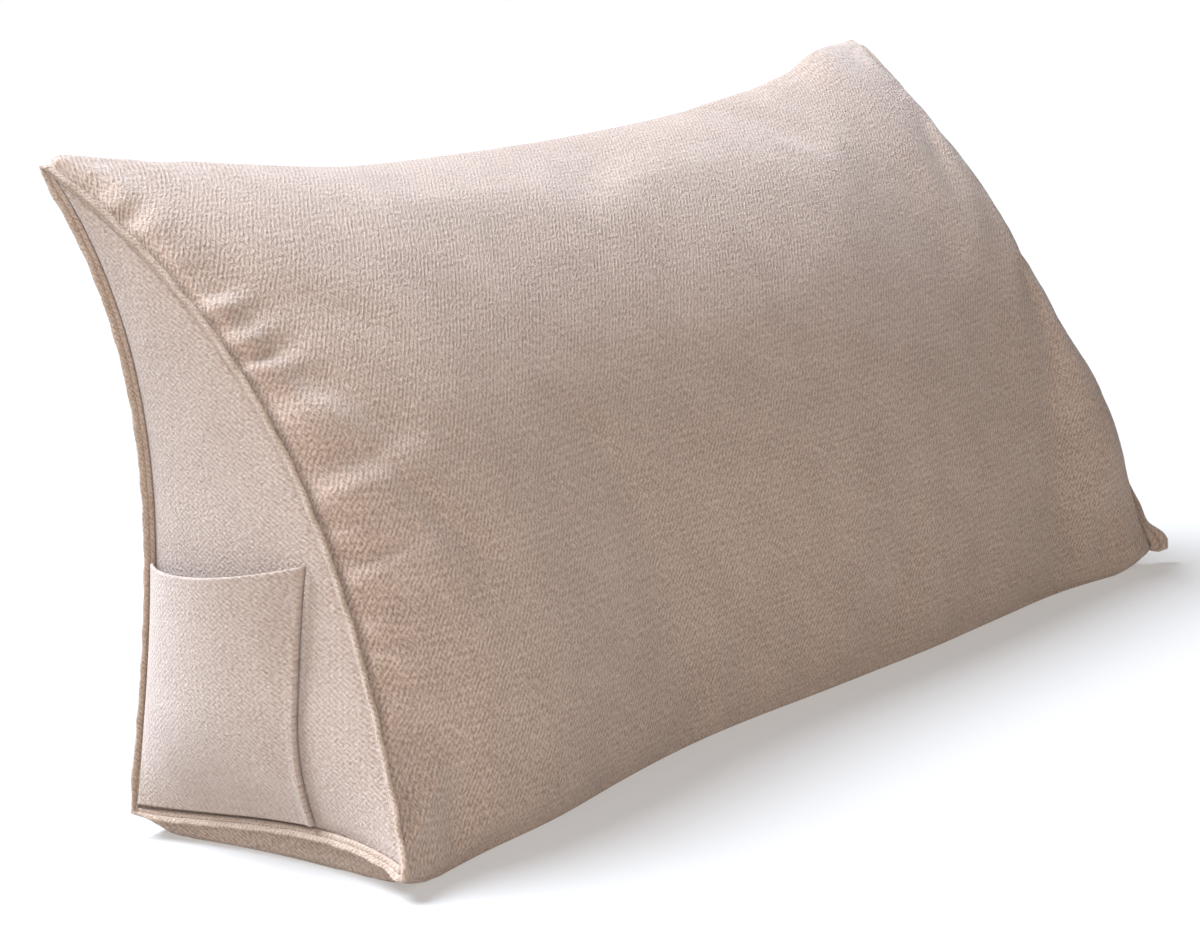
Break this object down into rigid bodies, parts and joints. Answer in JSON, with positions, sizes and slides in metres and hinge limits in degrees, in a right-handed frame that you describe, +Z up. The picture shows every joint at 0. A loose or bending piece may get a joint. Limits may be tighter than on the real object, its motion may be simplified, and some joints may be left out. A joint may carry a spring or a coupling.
{
  "type": "backrest pillow",
  "caption": "Wedge-shaped backrest cushion with a flat base, crowned slanting front, two fin-shaped end panels with stitched flanges, and an open patch pocket on one end.",
  "frame": {"origin": "on the floor under the middle of the pillow's box", "axes": "+Z up, the front that one leans on faces -Y, the end with the pocket is at -X"},
  "size_m": [0.6164, 0.1898, 0.3173],
  "materials": {
    "cushion_body": "matt ribbed linen-look weave",
    "end_panel_with_pocket": "matt linen-look weave",
    "end_panel_plain": "matt linen-look weave",
    "seam_flange_pocket_end": "matt weave, topstitched",
    "seam_flange_plain_end": "matt weave, topstitched",
    "patch_pocket": "matt linen-look weave"
  },
  "bodies": {
    "root": {"cushion_body": "cushion_body", "end_panel_with_pocket": "end_panel_with_pocket", "end_panel_plain": "end_panel_plain", "seam_flange_pocket_end": "seam_flange_pocket_end", "seam_flange_plain_end": "seam_flange_plain_end", "patch_pocket": "patch_pocket"}
  },
  "joints": []
}
